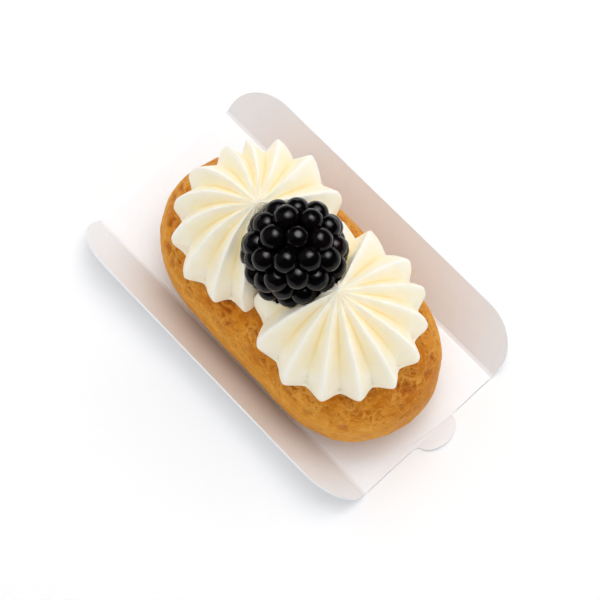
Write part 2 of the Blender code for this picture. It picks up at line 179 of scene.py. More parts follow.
FRONT_ROSETTE = {
    "centre": (0.0166, -0.0011),
    "peak_shift": (-0.0010, -0.0008),
    "rim": 0.0192,
    "swirl": math.radians(-2.0),
    "ridges": (
        (-143.5, 1.01), (-114.8, 1.01), (-85.5, 0.995), (-57.5, 0.98), (-32.5, 0.995), (-9.5, 1.01),
        (14.5, 0.985), (40.5, 0.95), (65.0, 0.98), (87.5, 1.01), (119.0, 1.06), (137.0, 1.09),
        (163.0, 1.0), (189.0, 1.0),
    ),
    "beads": 0.00009,
    "tears": ((50.0, 0.47), (43.5, 0.40), (-73.0, 0.16)),
    "seed": 8.0,
}
SEAM_POINT = Vector((0.0001, -0.0004, 0.0300))
SEAM_LEAN = math.radians(16.0)

# Bramble berry: rings of drupelets from the tip down, as degrees down, how many, and degrees of zigzag.
BERRY_CENTRE = Vector((0.0025, -0.0019, 0.0401))
BERRY_LEAN = math.radians(3.9)
BERRY_LEAN_TURN = math.radians(-1.0)
BERRY_RING_RADIUS = 0.0090
BERRY_RING_HEIGHT = 0.0111
BERRY_SQUARENESS = 2.4
BERRY_CORE_SHRINK = 0.0010
DRUPELET_RADIUS = 0.0027
DRUPELET_LENGTH = 0.0025
DRUPELET_SIZE_SPREAD = 0.07
DRUPELET_DIMPLE = 0.05
DRUPELET_DIMPLE_WIDTH = 0.22
DRUPELET_TINT_SEED = 4
DRUPELET_STRAY_TURN = 0.08
DRUPELET_STRAY_DOWN = 2.5
BERRY_UNEVENNESS = 0.00022
BERRY_UNEVENNESS_SIZE = 0.0016
DRUPELET_RINGS = (
    (0, 1, 0), (30.5, 6, 0), (59, 12, 6), (81, 13, 5), (103, 12, 4), (124, 9, 3), (150, 5, 0),
)
DRUPELET_TURNS = (0.0, -14.0, 16.0, 24.0, 12.0, 20.0, 0.0)
BERRY_SEED = 7

# Camera, light and table. The focus is how narrow the softbox looks in gloss.
TABLE_HALF_WIDTH = 3.0
CAMERA_LENS = 132.42
CAMERA_SENSOR = 36.0
CAMERA_AZIMUTH = math.radians(46.87)
CAMERA_ELEVATION = math.radians(71.98)
CAMERA_DISTANCE = 0.500
CAMERA_AIM = Vector((0.00128, 0.00071, 0.0))
SKY_LIGHT = 0.56
HORIZON_LIGHT = 0.60
FRONT_LIGHT = 0.9
HORIZON_FADE = 4.0
SKY_IN_GLOSS = 0.01
SOFTBOX_GLOW = 15.0
SOFTBOX_FOCUS = 22.0
KEY_DIRECTION = Vector((-0.09, 0.33, 0.94))
KEY_DISTANCE = 1.0
KEY_SIZE = 0.95
KEY_POWER = 4.9
FILL_DIRECTION = Vector((-0.60, -0.50, 0.62))
FILL_SIZE = 1.2
FILL_POWER = 0.9


def seen(red, green, blue):
    """A colour of 0 to 255 as it looks on a screen, as linear light."""
    return tuple(((part / 255 + 0.055) / 1.055) ** 2.4 for part in (red, green, blue)) + (1.0,)


def smooth_step(value):
    value = np.clip(value, 0.0, 1.0)
    return value * value * (3.0 - 2.0 * value)


# Formulas in node trees.
class Term:
    """A socket of a node tree that takes part in a formula, as a number or as a vector."""

    def __init__(self, socket):
        self.socket = socket
        self.tree = socket.id_data
        self.is_vector = socket.type in ("VECTOR", "RGBA")

    def __add__(self, other):
        return formula("ADD", self, other)

    def __radd__(self, other):
        return formula("ADD", other, self)

    def __sub__(self, other):
        return formula("SUBTRACT", self, other)

    def __rsub__(self, other):
        return formula("SUBTRACT", other, self)

    def __mul__(self, other):
        return formula("MULTIPLY", self, other)

    def __rmul__(self, other):
        return formula("MULTIPLY", other, self)

    def __truediv__(self, other):
        return formula("DIVIDE", self, other)

    def __rtruediv__(self, other):
        return formula("DIVIDE", other, self)

    def __pow__(self, other):
        return formula("POWER", self, other)

    def least(self, other):
        return formula("MINIMUM", self, other)

    def most(self, other):
        return formula("MAXIMUM", self, other)

    def smooth(self, low, high):
        """0 up to low, 1 from high on, and a smooth step between them."""
        return Term(add_node(self.tree, "ShaderNodeMapRange", {0: self, 1: low, 2: high},
                             interpolation_type="SMOOTHSTEP").outputs[0])

    def bump(self, width):
        """1 where the number is 0, falling off like a bell over the width."""
        return formula("EXPONENT", (self / width) * (self / width) * -1.0)

    def parts(self):
        split = add_node(self.tree, "ShaderNodeSeparateXYZ", {0: self})
        return [Term(socket) for socket in split.outputs]


def feed(socket, value):
    if isinstance(value, Term):
        socket.id_data.links.new(value.socket, socket)
    elif socket.type == "VECTOR" and isinstance(value, (int, float)):
        socket.default_value = (value, value, value)
    else:
        socket.default_value = value


def add_node(tree, kind, feeds, **settings):
    """A node with its settings made and its inputs fed, by name or by place."""
    made = tree.nodes.new(kind)
    for label, value in settings.items():
        setattr(made, label, value)
    for label, value in feeds.items():
        feed(made.inputs[label], value)
    return made


def formula(operation, *values):
    """One step of arithmetic in a node tree, on vectors if any of its values is one."""
    terms = [value for value in values if isinstance(value, Term)]
    is_vector = any(term.is_vector for term in terms)
    step = terms[0].tree.nodes.new("ShaderNodeVectorMath" if is_vector else "ShaderNodeMath")
    step.operation = operation
    for socket, value in zip(step.inputs, values):
        feed(socket, value)
    return Term(step.outputs[0])


def vector_size(value):
    sized = add_node(value.tree, "ShaderNodeVectorMath", {0: value}, operation="LENGTH")
    return Term(sized.outputs["Value"])


def dot(first, second):
    joined = add_node(first.tree, "ShaderNodeVectorMath", {0: first, 1: second}, operation="DOT_PRODUCT")
    return Term(joined.outputs["Value"])


def vector(tree, x, y, z):
    return Term(add_node(tree, "ShaderNodeCombineXYZ", {0: x, 1: y, 2: z}).outputs[0])


def mixed(share, first, second):
    """The first number or vector where share is 0, the second where it is 1."""
    return first + (second - first) * share


def blended(share, first, second):
    """The first colour where share is 0, the second where it is 1."""
    blend = add_node(share.tree, "ShaderNodeMix", {0: share}, data_type="RGBA")
    feed(blend.inputs[6], first)
    feed(blend.inputs[7], second)
    return Term(blend.outputs[2])


def in_sizes(place, sizes):
    """A place counted in a pattern's sizes along X, Y and Z."""
    return place * vector(place.tree, *(1 / size for size in sizes))


def noise_node(place, seed, detail):
    return add_node(place.tree, "ShaderNodeTexNoise", {
        "Vector": place, "W": seed, "Scale": 1.0, "Detail": detail,
    }, noise_dimensions="4D")


def cloud(place, seed=0.0, detail=2.0):
    """Smooth noise from 0 to 1 with features about one unit across."""
    return Term(noise_node(place, seed, detail).outputs[0])


def drift(place, seed=0.0):
    """Three smooth noises about 0, as a vector to bend places by."""
    return Term(noise_node(place, seed, 1.0).outputs[1]) - 0.5


def new_group(name, kind, inputs, outputs):
    """A node group with named inputs and outputs: its tree, its inputs as terms, its output node."""
    tree = bpy.data.node_groups.new(name, kind)
    for label, (socket_kind, value) in inputs.items():
        socket = tree.interface.new_socket(label, in_out="INPUT", socket_type="NodeSocket" + socket_kind)
        if value is not None:
            socket.default_value = value
    for label, socket_kind in outputs.items():
        tree.interface.new_socket(label, in_out="OUTPUT", socket_type="NodeSocket" + socket_kind)
    given = tree.nodes.new("NodeGroupInput")
    made = tree.nodes.new("NodeGroupOutput")
    return tree, {label: Term(given.outputs[label]) for label in inputs}, made


def stored(tree, name):
    """A number kept on the mesh as a term of a geometry tree."""
    reader = add_node(tree, "GeometryNodeInputNamedAttribute", {"Name": name}, data_type="FLOAT")
    found = next(socket for socket in reader.outputs if socket.enabled and socket.name == "Attribute")
    return Term(found)


def store(geometry, name, value, kind="FLOAT", domain="POINT"):
    """The geometry with a term kept on it as an attribute."""
    keeper = add_node(geometry.tree, "GeometryNodeStoreNamedAttribute", {
        "Geometry": geometry, "Name": name,
    }, data_type=kind, domain=domain)
    feed(next(socket for socket in keeper.inputs if socket.enabled and socket.name == "Value"), value)
    return Term(keeper.outputs[0])


def placed(geometry, place):
    """The geometry with its points moved to the places."""
    mover = add_node(geometry.tree, "GeometryNodeSetPosition", {"Geometry": geometry, "Position": place})
    return Term(mover.outputs[0])


def here(tree):
    """Where each point of a geometry tree is at that step."""
    return Term(tree.nodes.new("GeometryNodeInputPosition").outputs[0])


def outward(tree):
    """Which way the surface of a geometry tree faces at that step."""
    return Term(tree.nodes.new("GeometryNodeInputNormal").outputs[0])


def cast(target, source, direction):
    """Rays to a target: whether each hits it, and where."""
    ray = add_node(source.tree, "GeometryNodeRaycast", {
        "Source Position": source, "Ray Direction": direction, "Ray Length": 1.0,
    })
    feed(ray.inputs["Target Geometry"], target)
    return Term(ray.outputs["Is Hit"]), Term(ray.outputs["Hit Position"])


def object_shape(term):
    return Term(add_node(term.tree, "GeometryNodeObjectInfo", {"Object": term}).outputs["Geometry"])


def finished(geometry, look, output):
    """Ends a geometry tree: instances made real, faces smooth, and the material set."""
    real = add_node(geometry.tree, "GeometryNodeRealizeInstances", {"Geometry": geometry})
    smooth = add_node(geometry.tree, "GeometryNodeSetShadeSmooth", {"Geometry": Term(real.outputs[0])})
    painted = add_node(geometry.tree, "GeometryNodeSetMaterial", {
        "Geometry": Term(smooth.outputs[0]), "Material": look,
    })
    feed(output.inputs[0], Term(painted.outputs[0]))


def grown(name, base, tree, values):
    """The plain piece that a geometry tree makes of a base mesh."""
    piece = bpy.data.objects.new(name, base)
    bpy.context.scene.collection.objects.link(piece)
    growth = piece.modifiers.new(tree.name, "NODES")
    growth.node_group = tree
    for socket in tree.interface.items_tree:
        if socket.in_out == "INPUT" and socket.name in values:
            growth[socket.identifier] = values[socket.name]
    depsgraph = bpy.context.evaluated_depsgraph_get()
    made = bpy.data.meshes.new_from_object(piece.evaluated_get(depsgraph), preserve_all_data_layers=True,
                                           depsgraph=depsgraph)
    made.name = name
    piece.modifiers.remove(growth)
    piece.data = made
    bpy.data.meshes.remove(base)
    return piece


def set_attribute(mesh_data, name, values):
    made = mesh_data.attributes.new(name, "FLOAT", "POINT")
    made.data.foreach_set("value", np.array(values, np.float32))


# Shader groups that more than one finish uses.
def mottle_group():
    """Soft patches of a second colour over the first."""
    tree, given, made = new_group("mottle", "ShaderNodeTree", {
        "Place": ("Vector", None),
        "Colour": ("Color", None),
        "Patch Colour": ("Color", None),
        "Patch Size": ("Float", 0.003),
        "Patch Share": ("Float", 0.5),
        "Seed": ("Float", 0.0),
    }, {"Colour": "Color"})
    patches = cloud(given["Place"] / given["Patch Size"], given["Seed"], detail=3.0).smooth(0.36, 0.64)
    feed(made.inputs[0], blended(patches * given["Patch Share"], given["Colour"], given["Patch Colour"]))
    return tree


def grain_group():
    """A fine uneven height, with coarser swells under it."""
    tree, given, made = new_group("grain", "ShaderNodeTree", {
        "Place": ("Vector", None),
        "Grain Size": ("Float", 0.0003),
        "Swell Size": ("Float", 0.002),
        "Swell Share": ("Float", 0.5),
    }, {"Height": "Float"})
    fine = cloud(given["Place"] / given["Grain Size"], detail=3.0)
    swell = cloud(given["Place"] / given["Swell Size"], seed=5.0)
    feed(made.inputs[0], mixed(given["Swell Share"], fine, swell))
    return tree


MOTTLE = mottle_group()
GRAIN = grain_group()


def mottled(place, colour, patch_colour, size, share, seed=0.0):
    return Term(add_node(place.tree, "ShaderNodeGroup", {
        "Place": place, "Colour": colour, "Patch Colour": patch_colour,
        "Patch Size": size, "Patch Share": share, "Seed": seed,
    }, node_tree=MOTTLE).outputs[0])


def grained(place, grain, swell, swell_share):
    return Term(add_node(place.tree, "ShaderNodeGroup", {
        "Place": place, "Grain Size": grain, "Swell Size": swell, "Swell Share": swell_share,
    }, node_tree=GRAIN).outputs[0])


def new_finish(name, **values):
    """A material with a Principled shader whose even values are set on its own sockets."""
    made = bpy.data.materials.new(name)
    made.use_nodes = True
    shader = made.node_tree.nodes["Principled BSDF"]
    for label, value in values.items():
        shader.inputs[label.replace("_", " ")].default_value = value
    return made, shader


def object_place(tree):
    return Term(tree.nodes.new("ShaderNodeTexCoord").outputs["Object"])


def kept(tree, name, socket="Fac"):
    """An attribute of the mesh as a term of a material."""
    return Term(add_node(tree, "ShaderNodeAttribute", {}, attribute_name=name).outputs[socket])


def raised(shader, height, distance, strength):
    """Gives a shader its fine relief."""
    relief = add_node(shader.id_data, "ShaderNodeBump", {
        "Height": height, "Distance": distance, "Strength": strength,
    })
    feed(shader.inputs["Normal"], Term(relief.outputs[0]))


# Finishes.
def card_finish():
    """Smooth white coated card with a faint cloudiness."""
    made, shader = new_finish("white_card", Roughness=0.45, IOR=1.45)
    place = object_place(made.node_tree)
    colour = mottled(place, seen(242, 243, 246), seen(239, 241, 244), 0.0016, 0.5)
    feed(shader.inputs["Base Color"], colour)
    raised(shader, grained(place, 0.00022, 0.003, 0.4), 0.00002, 0.5)
    return made


def web(place, size):
    """How far a place is from the edge of its cell of crackled crust, and a number drawn for the cell."""
    cells = add_node(place.tree, "ShaderNodeTexVoronoi", {"Vector": place / size, "Scale": 1.0},
                     feature="DISTANCE_TO_EDGE")
    drawn = add_node(place.tree, "ShaderNodeTexVoronoi", {"Vector": place / size, "Scale": 1.0})
    return Term(cells.outputs["Distance"]), Term(drawn.outputs["Color"]).parts()[0]


def crust_pattern(place):
    """Pale threads, dark hollows and long streaks in the crust at a place, each from 0 to 1."""
    bent = place
    for size, reach, seed in CRUST_BENDS:
        bent = bent + drift(place / size, seed) * reach
    wide_edge, wide_cell = web(bent * vector(place.tree, *CRACK_STRETCH), CRACK_SIZE)
    fine_edge, fine_cell = web(bent, FINE_CRACK_SIZE)
    shown = cloud(place / CRACK_PATCH_SIZE, seed=2.0).smooth(0.36, 0.60)
    wide_threads = (1.0 - wide_edge.smooth(0.0, 0.085)) * 0.9
    fine_threads = (1.0 - fine_edge.smooth(0.0, 0.13)) * 0.6
    threads = wide_threads.most(fine_threads) * shown
    wide_hollows = wide_edge.smooth(0.06, 0.34) * wide_cell.smooth(0.30, 0.75)
    fine_hollows = fine_edge.smooth(0.08, 0.40) * fine_cell.smooth(0.55, 0.90) * 0.7
    hollows = wide_hollows.most(fine_hollows)
    streaks = cloud(in_sizes(place, STREAK_SIZE), seed=3.0, detail=3.0).smooth(0.34, 0.66)
    return threads, hollows, streaks


def crust_finish():
    """Egg-gold crust: brown on top with darker hollows and pale threads, paler and streaked below."""
    made, shader = new_finish("choux_crust", IOR=1.22)
    tree = made.node_tree
    place = kept(tree, "crust_place", "Vector")
    threads, hollows, streaks = crust_pattern(place)
    height = place.parts()[2]
    top = height.smooth(*BROWN_HEIGHTS)
    baked = (cloud(place / BROWN_PATCH_SIZE, seed=9.0) * 0.7 + top * 0.6).smooth(0.45, 1.0)
    side = mottled(place, seen(236, 168, 62), seen(222, 146, 36), 0.0028, 0.8)
    side = blended((1.0 - streaks) * 0.40, side, seen(198, 118, 24))
    brown = mottled(place, seen(212, 134, 28), seen(190, 107, 6), 0.0022, 0.9, seed=2.0)
    colour = blended(baked, side, brown)
    from_tip = vector_size(place - vector(tree, *DARK_TIP_PLACE))
    colour = blended(from_tip.bump(DARK_TIP_SIZE) * 0.6, colour, seen(170, 92, 18))
    fibre = cloud(in_sizes(place, FIBRE_SIZE), seed=11.0, detail=4.0)
    colour = blended(fibre.smooth(0.50, 0.72) * 0.34, colour, seen(240, 188, 96))
    colour = blended((1.0 - fibre.smooth(0.28, 0.46)) * 0.30, colour, seen(156, 82, 4))
    colour = blended(hollows * mixed(top, 0.06, 0.90), colour, seen(164, 80, 0))
    colour = blended(threads * mixed(top, 0.22, 0.62), colour, seen(240, 184, 88))
    speck = cloud(place / SPECK_SIZE, seed=6.0).smooth(0.58, 0.75)
    colour = blended(speck * 0.25, colour, seen(146, 74, 6))
    feed(shader.inputs["Base Color"], colour)
    feed(shader.inputs["Roughness"], mixed(threads, 0.50, 0.66) - hollows * 0.08)
    fine = grained(place, 0.00035, 0.0016, 0.4)
    raised(shader, fine + fibre * 0.8 + threads * 0.7 - hollows * 0.4, 0.00016, 0.8)
    return made


def cream_finish():
    """Vanilla cream: satin and soft inside, with a painted highlight that whitens its crests and painted
    shade that yellows its valleys, deepest in the furrows.
    """
    made, shader = new_finish("vanilla_cream", Roughness=0.42, IOR=1.42, Subsurface_Weight=0.45,
                              Subsurface_Radius=(1.0, 0.74, 0.46), Subsurface_Scale=0.0011)
    tree = made.node_tree
    place = object_place(tree)
    valley = kept(tree, "valley")
    base = mottled(place, seen(255, 245, 224), seen(254, 241, 216), 0.0035, 0.7)
    # Painted highlight: the crests are whitened.
    base = blended(kept(tree, "crest") * 0.9, base, seen(255, 250, 239))
    # Painted shade: the valleys are yellowed.
    base = blended(valley.smooth(0.25, 1.0), base, seen(255, 239, 203))
    # Painted shade: a deeper yellow along the bottoms of the furrows.
    feed(shader.inputs["Base Color"], blended(kept(tree, "furrow") * 0.8, base, seen(252, 220, 142)))
    raised(shader, grained(place, 0.00030, 0.0015, 0.5), 0.00003, 0.5)
    return made


def berry_finish():
    """Near-black ripe skin with a waxy gloss and a breath of purple."""
    made, shader = new_finish("berry_skin", IOR=1.26)
    tree = made.node_tree
    place = object_place(tree)
    each = kept(tree, "each")
    colour = mottled(place, seen(3, 2, 4), seen(10, 4, 8), 0.0022, 0.8)
    feed(shader.inputs["Base Color"], blended(each.smooth(0.75, 1.0) * 0.5, colour, seen(22, 6, 12)))
    feed(shader.inputs["Roughness"], mixed(cloud(place / 0.0012, seed=4.0, detail=2.0), 0.13, 0.22))
    raised(shader, grained(place, 0.00025, 0.0011, 0.6), 0.00003, 0.5)
    return made


# The card tray.
def flap_end(beyond_fold):
    """How far along X the sheet reaches at a distance up a flap."""
    share = (beyond_fold - (FLAP_SLANT - FLAP_CORNER_RISE)) / FLAP_CORNER_RISE
    share = min(1.0, max(0.0, share))
    return TRAY_LENGTH / 2 - FLAP_CORNER_LENGTH * (1.0 - math.sqrt(1.0 - share**2))


def tab_reach(across):
    """How far the front edge stands out at a place across: a half-round tab with a small flare."""
    middle = (TAB_START + TAB_END) / 2
    half = (TAB_END - TAB_START) / 2
    if TAB_START - TAB_FLARE < across <= TAB_START:
        return TAB_FLARE_REACH * ((across - TAB_START + TAB_FLARE) / TAB_FLARE) ** 2
    if abs(across - middle) >= half:
        return 0.0
    round_part = math.sqrt(1.0 - ((across - middle) / half) ** 2)
    return TAB_FLARE_REACH / 2 + (TAB_REACH - TAB_FLARE_REACH / 2) * round_part


def score_rise(past_bend):
    """Height of the bead that a score leaves inside a fold, with a shallow groove at each side of it."""
    bead = SCORE_RISE * math.exp(-((past_bend / SCORE_HALF_WIDTH) ** 2))
    groove = (abs(past_bend) - SCORE_GROOVE_PLACE) / SCORE_GROOVE_HALF_WIDTH
    return bead - SCORE_GROOVE * math.exp(-(groove**2))


def tab_score(along, across):
    """Depth of the score at the tab's root, which runs a little askew to the front edge."""
    share = (across - TAB_START) / (TAB_END - TAB_START)
    if not -0.05 <= share <= 1.05:
        return 0.0
    line = TRAY_LENGTH / 2 - TAB_SCORE_INSET * (1.0 - share)
    return TAB_SCORE_DEPTH * math.exp(-(((along - line) / TAB_SCORE_HALF_WIDTH) ** 2))


def fold_section(across, along):
    """The place and the upward normal, in Y and Z, of the card's middle surface."""
    side = 1.0 if across >= 0.0 else -1.0
    share = along / TRAY_LENGTH + 0.5
    lean = RIGHT_FLAP_LEAN_BACK + (RIGHT_FLAP_LEAN_FRONT - RIGHT_FLAP_LEAN_BACK) * share
    if side < 0.0:
        lean = LEFT_FLAP_LEAN
    turn = math.pi / 2 - lean
    start = TRAY_WIDTH / 2 - FOLD_RADIUS * math.tan(turn / 2)
    past = abs(across) - start
    bent = min(turn, max(0.0, past / FOLD_RADIUS))
    rest = max(0.0, past - FOLD_RADIUS * turn)
    level = min(0.0, past)
    place = start + level + FOLD_RADIUS * math.sin(bent) + rest * math.cos(turn)
    height = CARD / 2 + FOLD_RADIUS * (1.0 - math.cos(bent)) + rest * math.sin(turn)
    rise = score_rise(past - FOLD_RADIUS * turn / 2)
    normal = (-side * math.sin(bent), math.cos(bent))
    return side * place + normal[0] * rise, height + normal[1] * rise, normal


def tray_rows():
    """Distances across the flat sheet, close together at the folds and over the tab."""
    fold = TRAY_WIDTH / 2
    corner = [FLAP_CORNER_RISE * math.sin(math.radians(turn)) for turn in FLAP_CORNER_TURNS]
    side = [fold - FOLD_BAND + FOLD_ROW_STEP * step for step in range(FOLD_ROWS)]
    side += [fold + FLAP_SLANT - FLAP_CORNER_RISE + rise for rise in corner]
    middle = (TAB_START + TAB_END) / 2
    half = (TAB_END - TAB_START) / 2
    tab = [middle - half * math.cos(math.pi * step / TAB_STEPS) for step in range(1, TAB_STEPS)]
    flare = [TAB_START - TAB_FLARE * (1.0 - step / FLARE_STEPS) for step in range(FLARE_STEPS + 1)]
    front = flare + [TAB_START + TAB_NOTCH] + tab + [TAB_END - TAB_NOTCH, TAB_END]
    return [-value for value in reversed(side)] + [*BASE_ROWS_LEFT, *front, *BASE_ROWS_RIGHT] + side


def tray_columns():
    """Shares of the half length, from -1 at the back to 1 at the front edge, and 2 out on the tab."""
    band = 1.0 - FRONT_BAND
    shares = [-1.0 + (1.0 + band) * step / BASE_COLUMNS for step in range(BASE_COLUMNS + 1)]
    shares += [band + FRONT_BAND * step / FRONT_BAND_COLUMNS for step in range(1, FRONT_BAND_COLUMNS + 1)]
    return shares + list(TAB_COLUMNS)


def make_tray(look):
    rows = tray_rows()
    shares = tray_columns()
    wide = len(shares)

    def point(row, column, face):
        """face is 1 on top, -1 underneath and 0 on the cut edge."""
        across = rows[row]
        if row in (0, len(rows) - 1):
            across -= math.copysign(CUT_EDGE_ROUNDING * max(0, face), across)
        end = flap_end(abs(across) - TRAY_WIDTH / 2)
        along = end * min(1.0, shares[column])
        out = tab_reach(across) * max(0.0, shares[column] - 1.0)
        if column in (0, wide - 1):
            along -= math.copysign(CUT_EDGE_ROUNDING * max(0, face), along)
        place, height, normal = fold_section(across, along)
        offset = face * CARD / 2 - tab_score(along + out, across)
        height += out * math.sin(TAB_BEND)
        height = max(0.0, height + normal[1] * offset)
        return along + out * math.cos(TAB_BEND), place + normal[0] * offset, height

    points = [
        point(row, column, face) for face in (1, -1) for row in range(len(rows)) for column in range(wide)
    ]
    sheet = len(rows) * wide
    faces = []
    for row in range(len(rows) - 1):
        for column in range(wide - 1):
            first = row * wide + column
            quad = (first, first + 1, first + wide + 1, first + wide)
            faces.append(quad)
            faces.append(tuple(sheet + corner for corner in reversed(quad)))
    border = [(0, column) for column in range(wide)]
    border += [(row, wide - 1) for row in range(1, len(rows))]
    border += [(len(rows) - 1, column) for column in range(wide - 2, -1, -1)]
    border += [(row, 0) for row in range(len(rows) - 2, 0, -1)]
    edge = len(points)
    points += [point(row, column, 0) for row, column in border]
    for step, (row, column) in enumerate(border):
        after = (step + 1) % len(border)
        here_top = row * wide + column
        next_top = border[after][0] * wide + border[after][1]
        faces.append((next_top, here_top, edge + step, edge + after))
        faces.append((edge + after, edge + step, sheet + here_top, sheet + next_top))
    made = bpy.data.meshes.new("folded_tray")
    made.from_pydata(points, [], faces)
    shape = bmesh.new()
    shape.from_mesh(made)
    bmesh.ops.remove_doubles(shape, verts=shape.verts, dist=CARD_MERGE_DISTANCE)
    bmesh.ops.dissolve_degenerate(shape, edges=shape.edges, dist=CARD_SLIVER_WIDTH)
    bmesh.ops.recalc_face_normals(shape, faces=shape.faces)
    shape.to_mesh(made)
    shape.free()
    made.shade_smooth()
    made.set_sharp_from_angle(angle=CARD_SHARP_ANGLE)
    piece = bpy.data.objects.new("folded_tray", made)
    piece.data.materials.append(look)
    bpy.context.scene.collection.objects.link(piece)
    return piece


# The choux bun.
def bun_reach(along, across):
    """Plan distance from the ridge line, where 1 is the outline at the widest level."""
    beyond = np.abs(along) - BUN_RIDGE_HALF
    ease = BUN_BLEND**2 / (4.0 * BUN_END_REACH)
    beyond = np.maximum(ease, (beyond + np.sqrt(beyond * beyond + BUN_BLEND**2)) / 2)
    lengthwise = ((beyond - ease) / BUN_END_REACH) ** BUN_PLAN_SQUARENESS
    crosswise = np.abs(across / BUN_HALF_WIDTH) ** BUN_PLAN_SQUARENESS
    return (lengthwise + crosswise) ** (1.0 / BUN_PLAN_SQUARENESS)


def bun_measure(place):
    """Less than 1 inside the bun, more than 1 outside it."""
    reach = bun_reach(place[:, 0], place[:, 1])
    up = place[:, 2]
    top = reach**BUN_TOP_SQUARENESS + (np.maximum(up, 0.0) / BUN_TOP_RISE) ** BUN_TOP_SQUARENESS
    base = reach**BUN_BASE_SQUARENESS + (np.maximum(-up, 0.0) / BUN_BASE_DROP) ** BUN_BASE_SQUARENESS
    return np.where(up >= 0.0, top, base)


def bun_relief(places):
    """The bun's broad wrinkles and dents, which fade out at its foot."""
    relief = []
    for place in places:
        place = Vector(place)
        wrinkle = -math.hypot(noise.noise(place / WRINKLE_SIZE), WRINKLE_SOFTNESS) * WRINKLE_SHARPNESS
        dent = noise.noise(place / DENT_SIZE + DENT_SHIFT) - DENT_MEAN
        relief.append(WRINKLE_DEPTH * wrinkle + DENT_DEPTH * dent)
    return np.array(relief) * smooth_step((places[:, 2] - BUN_FLOOR) / RELIEF_FADE_HEIGHT)


def bun_base():
    """The bun's form with its broad relief, as a box of fine squares blown up onto it."""
    shape = bmesh.new()
    bmesh.ops.create_cube(shape, size=2.0)
    for axis, cuts in enumerate(BUN_CUTS):
        edges = [edge for edge in shape.edges
                 if abs(edge.verts[0].co[axis] - edge.verts[1].co[axis]) > 1.0]
        bmesh.ops.subdivide_edges(shape, edges=edges, cuts=cuts, use_grid_fill=True)
    made = bpy.data.meshes.new("bun_base")
    shape.to_mesh(made)
    shape.free()
    corners = np.empty(len(made.vertices) * 3, np.float32)
    made.vertices.foreach_get("co", corners)
    rays = np.tan(corners.reshape(-1, 3).astype(float) * math.pi / 4)
    reach = np.array((BUN_RIDGE_HALF + BUN_END_REACH, BUN_HALF_WIDTH, BUN_TOP_RISE))
    rays *= reach / np.linalg.norm(rays, axis=1)[:, None]
    low = np.full(len(rays), SURFACE_SEARCH[0])
    high = np.full(len(rays), SURFACE_SEARCH[1])
    for _ in range(SURFACE_SEARCH_STEPS):
        middle = (low + high) / 2
        inside = bun_measure(rays * middle[:, None]) < 1.0
        low = np.where(inside, middle, low)
        high = np.where(inside, high, middle)
    rays *= low[:, None]
    turn = np.array(Matrix.Rotation(BUN_YAW, 3, "Z"))
    ways = rays / reach
    ways /= np.linalg.norm(ways, axis=1)[:, None]
    places = rays @ turn.T + np.array(BUN_CENTRE)
    places += (ways @ turn.T) * bun_relief(places)[:, None]
    places[:, 2] = np.maximum(places[:, 2], BUN_FLOOR)
    made.vertices.foreach_set("co", places.astype(np.float32).ravel())
    made.update()
    return made


def crust_tree():
    """Raises threads and sinks hollows over the bun's surface, and keeps where each point of it began."""
    tree, given, made = new_group("puffed_crust", "GeometryNodeTree", {
        "Bun": ("Geometry", None),
        "Thread Height": ("Float", 0.0001),
        "Hollow Depth": ("Float", 0.0002),
        "Streak Depth": ("Float", 0.0001),
        "Foot Height": ("Float", 0.001),
        "Finish": ("Material", None),
    }, {"Crust": "Geometry"})
    place = here(tree)
    geometry = store(given["Bun"], "crust_place", place, kind="FLOAT_VECTOR")
    threads, hollows, streaks = crust_pattern(place)
    height = place.parts()[2]
    top = height.smooth(*CRACKED_HEIGHTS)
    foot = height.smooth(given["Foot Height"], given["Foot Height"] + FOOT_FADE_HEIGHT)
    relief = threads * given["Thread Height"] - hollows * given["Hollow Depth"] * mixed(top, 0.1, 1.0)
    relief = (relief - (1.0 - streaks) * given["Streak Depth"]) * foot
    finished(placed(geometry, place + outward(tree) * relief), given["Finish"], made)
    return tree


def make_bun(look):
    return grown("baked_bun", bun_base(), crust_tree(), {
        "Thread Height": THREAD_HEIGHT,
        "Hollow Depth": HOLLOW_DEPTH,
        "Streak Depth": STREAK_DEPTH,
        "Foot Height": BUN_FLOOR,
        "Finish": look,
    })


